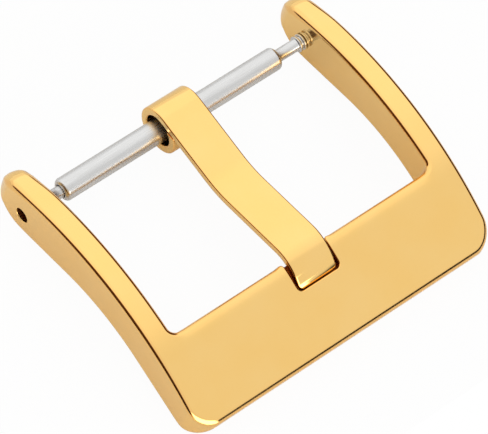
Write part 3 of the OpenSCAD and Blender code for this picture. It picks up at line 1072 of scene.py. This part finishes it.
def bar_sizes(s, b):
    """Adds the places along the bar that follow from its sizes."""
    half = s.opening / 2
    b.flange_out = half - b.play
    b.flange_in = b.flange_out - 2 * b.flange_thickness - b.groove
    b.head_out = b.flange_in - b.bare_stem
    b.head_in = b.head_out - b.head
    b.left, b.right = b.left_bare - half, half - b.right_bare
    b.coil = b.tube / 2 - b.wall - b.spring_gap - b.wire / 2
    b.coil_end = b.head_in - b.wire / 2 - b.clearance
    return b


def coil_tree():
    """Winds a wire round X, centred on the origin."""
    tree, start, end = new_group("Wound wire", (
        ("Radius", "NodeSocketFloat"), ("Wire", "NodeSocketFloat"), ("Length", "NodeSocketFloat"),
        ("Turns", "NodeSocketFloat"), ("Material", "NodeSocketMaterial")))
    spiral = add(tree, "GeometryNodeCurveSpiral", Resolution=COIL_PARTS,
                 Rotations=start.outputs["Turns"], Start_Radius=start.outputs["Radius"],
                 End_Radius=start.outputs["Radius"], Height=start.outputs["Length"])
    drop = add(tree, "ShaderNodeMath", {"operation": "MULTIPLY"}, _0=start.outputs["Length"],
               _1=-0.5)
    shift = add(tree, "ShaderNodeCombineXYZ", Z=drop.outputs[0])
    centred = add(tree, "GeometryNodeTransform", Geometry=spiral.outputs[0],
                  Translation=shift.outputs[0])
    lying = add(tree, "GeometryNodeTransform", Geometry=centred.outputs[0],
                Rotation=(0.0, pi / 2, 0.0))
    half = add(tree, "ShaderNodeMath", {"operation": "MULTIPLY"}, _0=start.outputs["Wire"], _1=0.5)
    section = add(tree, "GeometryNodeCurvePrimitiveCircle", Resolution=WIRE_PARTS)
    tree.links.new(half.outputs[0], section.inputs["Radius"])
    swept = add(tree, "GeometryNodeCurveToMesh", Curve=lying.outputs[0],
                Profile_Curve=section.outputs[0], Fill_Caps=True)
    finished_tree(tree, swept.outputs[0], end, start.outputs["Material"])
    return tree


# Materials

def linear(hex_value):
    """Linear colour from an sRGB hex value."""
    channels = [int(hex_value[i:i + 2], 16) / 255 for i in (1, 3, 5)]
    return tuple(c / 12.92 if c <= 0.04045 else ((c + 0.055) / 1.055) ** 2.4
                 for c in channels) + (1.0,)


def repeats(distance):
    """Scale at which a noise repeats over a distance in metres."""
    return 1 / distance


def cleared(owner):
    """The empty node tree of a new material or world."""
    owner.use_nodes = True
    owner.node_tree.nodes.clear()
    return owner.node_tree


def gold_plated_steel(finishes):
    """Gold-plated stainless steel, polished on a buffing wheel.
    The mirror is nearly clean: faint buffing lines and a slow waviness stir its reflections,
    the plating is paler in slow patches and more coppery where edges are rubbed,
    and in the recesses it is painted darker as shade and made matt."""
    name = "Polished gold plated steel"
    if name in bpy.data.materials:
        return bpy.data.materials[name]
    material = bpy.data.materials.new(name)
    tree = cleared(material)
    place = add(tree, "ShaderNodeTexCoord").outputs["Object"]
    rubbed = add(tree, "ShaderNodeAttribute", {"attribute_name": "wear"}).outputs["Fac"]
    shaded_matt_recess = add(tree, "ShaderNodeAttribute", {"attribute_name": "recess"}).outputs["Fac"]
    # Patches of about 3 mm where the plating is a touch thinner
    patches = add(tree, "ShaderNodeTexNoise", Vector=place, Scale=repeats(finishes.patch),
                  Detail=3.0)
    pale = add(tree, "ShaderNodeMapRange", Value=patches.outputs[0], From_Min=0.35, From_Max=0.75,
               To_Min=0.0, To_Max=finishes.patch_share)
    flats = add(tree, "ShaderNodeMix", {"data_type": "RGBA"}, Factor=pale.outputs[0],
                A=linear(finishes.gold), B=linear(finishes.gold_pale))
    share = add(tree, "ShaderNodeMath", {"operation": "MULTIPLY"}, _0=rubbed,
                _1=finishes.rim_share)
    polished = add(tree, "ShaderNodeMix", {"data_type": "RGBA"}, Factor=share.outputs[0],
                   A=flats.outputs["Result"], B=linear(finishes.gold_rim))
    # Painted shade: the recesses are mixed towards a dark brown gold
    colour = add(tree, "ShaderNodeMix", {"data_type": "RGBA"}, Factor=shaded_matt_recess,
                 A=polished.outputs["Result"], B=linear(finishes.recess_shade_gold))
    # Buffing lines run along the bar, about 0.06 mm apart, drawn coarser than real to show
    stretch = add(tree, "ShaderNodeMapping", Vector=place, Scale=(0.05, 1.0, 1.0))
    lines = add(tree, "ShaderNodeTexNoise", Vector=stretch.outputs[0],
                Scale=repeats(finishes.buffing), Detail=2.0)
    rough = add(tree, "ShaderNodeMapRange", Value=lines.outputs[0], From_Min=0.25, From_Max=0.75,
                To_Min=finishes.gold_smooth, To_Max=finishes.gold_rough)
    dull = add(tree, "ShaderNodeMath", {"operation": "MULTIPLY_ADD"}, _0=shaded_matt_recess,
               _1=finishes.recess_rough, _2=rough.outputs[0])
    rim_dull = add(tree, "ShaderNodeMath", {"operation": "MULTIPLY_ADD"}, _0=rubbed,
                   _1=finishes.rim_rough, _2=dull.outputs[0])
    # The wheel leaves waves of about 2 mm, and the lines stand out of them by less than a micron
    waves = add(tree, "ShaderNodeTexNoise", Vector=place, Scale=repeats(finishes.wave), Detail=1.0)
    swell = add(tree, "ShaderNodeBump", Height=waves.outputs[0], Strength=0.3, Distance=0.000012)
    grain = add(tree, "ShaderNodeBump", Height=lines.outputs[0], Strength=0.3,
                Distance=0.0000004, Normal=swell.outputs[0])
    shader = add(tree, "ShaderNodeBsdfPrincipled", Metallic=1.0, Roughness=rim_dull.outputs[0],
                 Base_Color=colour.outputs["Result"], Normal=grain.outputs[0])
    add(tree, "ShaderNodeOutputMaterial", Surface=shader.outputs[0])
    return material


def drawn_steel(finishes):
    """Drawn stainless steel, brightened by tumbling.
    It mirrors softly, and fine drawing lines run along the bar."""
    name = "Drawn stainless steel"
    if name in bpy.data.materials:
        return bpy.data.materials[name]
    material = bpy.data.materials.new(name)
    tree = cleared(material)
    place = add(tree, "ShaderNodeTexCoord").outputs["Object"]
    # Drawing lines about 0.05 mm apart
    stretch = add(tree, "ShaderNodeMapping", Vector=place, Scale=(0.03, 1.0, 1.0))
    lines = add(tree, "ShaderNodeTexNoise", Vector=stretch.outputs[0],
                Scale=repeats(finishes.drawing), Detail=2.0).outputs[0]
    shade = add(tree, "ShaderNodeMapRange", Value=lines, From_Min=0.3, From_Max=0.7,
                To_Min=0.0, To_Max=finishes.line_share)
    bright = linear(finishes.steel)
    dull = tuple(finishes.steel_dull * c for c in bright[:3]) + (1.0,)
    colour = add(tree, "ShaderNodeMix", {"data_type": "RGBA"}, Factor=shade.outputs[0],
                 A=bright, B=dull)
    rough = add(tree, "ShaderNodeMapRange", Value=lines, From_Min=0.3, From_Max=0.7,
                To_Min=finishes.steel_smooth, To_Max=finishes.steel_rough)
    grain = add(tree, "ShaderNodeBump", Height=lines, Strength=0.4, Distance=0.0000006)
    shader = add(tree, "ShaderNodeBsdfPrincipled", Metallic=1.0, Roughness=rough.outputs[0],
                 Base_Color=colour.outputs["Result"], Normal=grain.outputs[0])
    add(tree, "ShaderNodeOutputMaterial", Surface=shader.outputs[0])
    return material


def ray_kinds(tree):
    """1 for a ray from the camera, and 1 for one that metal or glass passes on."""
    path = add(tree, "ShaderNodeLightPath")
    either = add(tree, "ShaderNodeMath", {"operation": "MAXIMUM"},
                 _0=path.outputs["Is Glossy Ray"], _1=path.outputs["Is Transmission Ray"])
    return path.outputs["Is Camera Ray"], either.outputs[0]


def sweep_paper(finishes, studio):
    """Matt white paper. It glows where it is looked at, so that it reads as a plain white
    background and still keeps the buckle's soft shadow."""
    material = bpy.data.materials.new("Matt white paper")
    tree = cleared(material)
    camera, mirrored = ray_kinds(tree)
    direct = add(tree, "ShaderNodeMath", {"operation": "MULTIPLY"}, _0=camera,
                 _1=studio.paper_glow)
    share = add(tree, "ShaderNodeMath", {"operation": "MULTIPLY_ADD"}, _0=mirrored,
                _1=studio.mirrored_glow, _2=direct.outputs[0])
    matt = add(tree, "ShaderNodeBsdfDiffuse", Color=linear(finishes.sweep))
    glow = add(tree, "ShaderNodeEmission", Color=(1.0, 1.0, 1.0, 1.0), Strength=1.0)
    mixed = add(tree, "ShaderNodeMixShader", _0=share.outputs[0], _1=matt.outputs[0],
                _2=glow.outputs[0])
    add(tree, "ShaderNodeOutputMaterial", Surface=mixed.outputs[0])
    return material


# The studio

# Levels of light that change with the direction looked in: how they change, the axis, where the
# change starts and stops on it, and the level before and after. A place on an axis is the cosine
# of the angle to it, and a level is a share of plain white, or the name of a level. The strength
# changes with the kind of ray instead: it is full where the light is seen or mirrored
LIGHT_RAMPS = {
    "horizon": ("LINEAR", "back", -0.3, 0.3, 0.04, 0.8),
    "front room": ("SMOOTHSTEP", "back", -0.34, -0.06, 0.92, 1.1),
    "back room": ("LINEAR", "back", -0.06, 0.35, 1.0, 1.11),
    "left wall": ("SMOOTHSTEP", "side", -0.74, -0.6, 0.08, 1.0),
    "right wall": ("SMOOTHSTEP", "side", 0.64, 0.8, 1.0, 0.08),
    "above the horizon": ("SMOOTHSTEP", "up", 0.14, 0.25, "horizon", 1.0),
    "lamp's side": ("SMOOTHSTEP", "side", 0.26, 0.34, "lamp", 0.0),
    "lamp's height": ("SMOOTHSTEP", "up", 0.35, 0.5, 1.0, 0.0),
    "lamp's depth": ("SMOOTHSTEP", "back", -0.75, -0.6, 1.0, 0.0),
    "strength": ("LINEAR", "seen or mirrored", 0.0, 1.0, "light", 1.0),
}
# How the levels work together, in order
LIGHT_STEPS = (
    ("room", "MULTIPLY", "front room", "back room"),
    ("walls", "MULTIPLY", "left wall", "right wall"),
    ("walled room", "MULTIPLY", "room", "walls"),
    ("soft box", "MULTIPLY", "walled room", "above the horizon"),
    ("lamp's window", "MULTIPLY", "lamp's side", "lamp's height"),
    ("lamp's patch", "MULTIPLY", "lamp's window", "lamp's depth"),
    ("light and lamp", "MAXIMUM", "soft box", "lamp's patch"),
    ("mirrored light", "MULTIPLY", "light and lamp", "strength"),
    ("white", "MAXIMUM", "seen", "mirrored light"),
)


def light_studio(studio, finishes, tilt):
    """A wide soft box over the buckle's back, a paler room in front of it, dark side walls,
    a dim horizon and one lamp in front on the left."""
    world = bpy.data.worlds.new("Studio")
    bpy.context.scene.world = world
    tree = cleared(world)
    place = add(tree, "ShaderNodeTexCoord").outputs["Generated"]
    split = add(tree, "ShaderNodeSeparateXYZ", Vector=place)
    back = add(tree, "ShaderNodeVectorMath", {"operation": "DOT_PRODUCT"}, _0=place,
               _1=(0.0, cos(tilt), sin(tilt)))
    seen, mirrored = ray_kinds(tree)
    either = add(tree, "ShaderNodeMath", {"operation": "MAXIMUM"}, _0=seen, _1=mirrored)
    levels = {"side": split.outputs["X"], "up": split.outputs["Z"], "back": back.outputs["Value"],
              "seen": seen, "seen or mirrored": either.outputs[0],
              "light": studio.light, "lamp": studio.lamp}
    for name, (kind, axis, start, stop, before, after) in LIGHT_RAMPS.items():
        ramp = add(tree, "ShaderNodeMapRange", {"interpolation_type": kind}, Value=levels[axis],
                   From_Min=start, From_Max=stop, To_Min=levels.get(before, before), To_Max=after)
        levels[name] = ramp.outputs[0]
    for name, operation, one, other in LIGHT_STEPS:
        step = add(tree, "ShaderNodeMath", {"operation": operation}, _0=levels[one],
                   _1=levels[other])
        levels[name] = step.outputs[0]
    pale = add(tree, "ShaderNodeMapRange", Value=levels["walls"], From_Min=0.1, From_Max=0.7,
               To_Min=0.0, To_Max=1.0)
    untinted = add(tree, "ShaderNodeMath", {"operation": "MAXIMUM"}, _0=seen, _1=pale.outputs[0])
    tint = add(tree, "ShaderNodeMix", {"data_type": "RGBA"}, Factor=untinted.outputs[0],
               A=linear(finishes.walls), B=(1.0, 1.0, 1.0, 1.0))
    glow = add(tree, "ShaderNodeBackground", Color=tint.outputs["Result"],
               Strength=levels["white"])
    add(tree, "ShaderNodeOutputWorld", Surface=glow.outputs[0])


# Operators

def hand_over(obj, body, node):
    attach(obj, body)
    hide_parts(node)


class BUCKLE_OT_frame(bpy.types.Operator):
    """Make the frame with its two arms, plate, notch and drilled holes"""
    bl_idname = "mesh.buckle_frame"
    bl_label = "Frame"

    def execute(self, context):
        s, t = in_mm(context.scene.buckle_frame), in_mm(context.scene.buckle_tongue)
        gold = gold_plated_steel(context.scene.buckle_finishes)
        obj = frame_skin(s, t).made("polished_frame", to_object(s), gold)
        hand_over(obj, "frame", "frame")
        return {"FINISHED"}


class BUCKLE_OT_tongue(bpy.types.Operator):
    """Make the tongue, a strip rolled into an eye round the spring bar"""
    bl_idname = "mesh.buckle_tongue"
    bl_label = "Tongue"

    def execute(self, context):
        s, t = in_mm(context.scene.buckle_frame), in_mm(context.scene.buckle_tongue)
        gold = gold_plated_steel(context.scene.buckle_finishes)
        curve = path_curve("rolled_tongue", clear_points(TonguePath(s, t).middle))
        obj = grown(curve, strip_tree(), {"Width": t.width, "Thickness": t.thickness,
                                          "Edge": t.edge, "Material": gold})
        shape_tongue(obj.data, s, t)
        strip_wear(obj.data, t)
        obj.data.transform(to_object(s))
        finish_edges(obj, t.end_edge, 2, 50)
        hand_over(obj, "tongue", "tongue")
        return {"FINISHED"}


class BUCKLE_OT_bar(bpy.types.Operator):
    """Make the spring bar's tube and its two plungers"""
    bl_idname = "mesh.buckle_bar"
    bl_label = "Spring bar"

    def execute(self, context):
        s = in_mm(context.scene.buckle_frame)
        b = bar_sizes(s, in_mm(context.scene.buckle_bar))
        steel = drawn_steel(context.scene.buckle_finishes)
        place = to_object(s)
        turned_round = place @ Matrix.Rotation(pi, 4, "Z")
        for name, section, where, body, node in (
                ("drawn_tube", tube_section(b), place, "tube", "bar_tube"),
                ("turned_right_plunger", plunger_section(b), place,
                 "right_plunger", "right_plunger"),
                ("turned_left_plunger", plunger_section(b), turned_round,
                 "left_plunger", "left_plunger")):
            obj = lathe(name, section, where, steel)
            hand_over(obj, body, node)
            finish_edges(obj, b.burr, 1, 80)
        return {"FINISHED"}


class BUCKLE_OT_coil(bpy.types.Operator):
    """Wind the coil spring inside the tube"""
    bl_idname = "mesh.buckle_coil"
    bl_label = "Coil spring"

    def execute(self, context):
        s = in_mm(context.scene.buckle_frame)
        b = bar_sizes(s, in_mm(context.scene.buckle_bar))
        steel = drawn_steel(context.scene.buckle_finishes)
        seed = linked(bpy.data.objects.new("wound_spring", bpy.data.meshes.new("wound_spring")))
        obj = grown(seed, coil_tree(), {"Radius": b.coil, "Wire": b.wire, "Length": 2 * b.coil_end,
                                        "Turns": float(b.turns), "Material": steel})
        obj.data.transform(to_object(s))
        hand_over(obj, "spring", "coil_spring")
        return {"FINISHED"}


class BUCKLE_OT_studio(bpy.types.Operator):
    """Lay the paper sweep, light it and set the camera"""
    bl_idname = "scene.buckle_studio"
    bl_label = "Studio"

    def execute(self, context):
        studio, finishes = context.scene.buckle_studio, context.scene.buckle_finishes
        half, front = studio.paper / 2, -studio.paper_front
        back = front + studio.paper
        mesh = bpy.data.meshes.new("paper")
        corners = [(-half, front, 0.0), (half, front, 0.0), (half, back, 0.0), (-half, back, 0.0)]
        mesh.from_pydata(corners, [], [range(len(corners))])
        mesh.materials.append(sweep_paper(finishes, studio))
        linked(bpy.data.objects.new("paper", mesh))
        tilt = FrameProfile(in_mm(context.scene.buckle_frame)).rest_tilt
        light_studio(studio, finishes, tilt)
        lens = bpy.data.cameras.new("Camera")
        lens.lens, lens.sensor_width, lens.sensor_fit = studio.focal, 36.0, "HORIZONTAL"
        lens.clip_start, lens.clip_end = 0.01, 10.0
        camera = linked(bpy.data.objects.new("Camera", lens))
        camera.matrix_world = (Matrix.Translation(BAR_PLACE) @ Matrix.Rotation(tilt, 4, "X")
                               @ Matrix.Translation(studio.camera_place)
                               @ Euler(studio.camera_turn).to_matrix().to_4x4())
        context.scene.camera = camera
        context.scene.view_settings.view_transform = "Standard"
        return {"FINISHED"}


OPERATORS = (BUCKLE_OT_frame, BUCKLE_OT_tongue, BUCKLE_OT_bar, BUCKLE_OT_coil, BUCKLE_OT_studio)


class BUCKLE_PT_pieces(bpy.types.Panel):
    """Lists the buckle's pieces and its studio"""
    bl_idname = "BUCKLE_PT_pieces"
    bl_label = "Pin buckle"
    bl_space_type = "VIEW_3D"
    bl_region_type = "UI"
    bl_category = "Buckle"

    def draw(self, context):
        for operator in OPERATORS:
            self.layout.operator(operator.bl_idname)


def register():
    for cls in (*SIZE_GROUPS.values(), *OPERATORS, BUCKLE_PT_pieces):
        bpy.utils.register_class(cls)
    for name, group in SIZE_GROUPS.items():
        setattr(bpy.types.Scene, name, PointerProperty(type=group))


def unregister():
    for name in SIZE_GROUPS:
        delattr(bpy.types.Scene, name)
    for cls in (BUCKLE_PT_pieces, *reversed(OPERATORS), *reversed(list(SIZE_GROUPS.values()))):
        bpy.utils.unregister_class(cls)


def main():
    register()
    bpy.ops.mesh.buckle_frame()
    bpy.ops.mesh.buckle_tongue()
    bpy.ops.mesh.buckle_bar()
    bpy.ops.mesh.buckle_coil()
    bpy.ops.scene.buckle_studio()


if __name__ == "__main__":
    main()
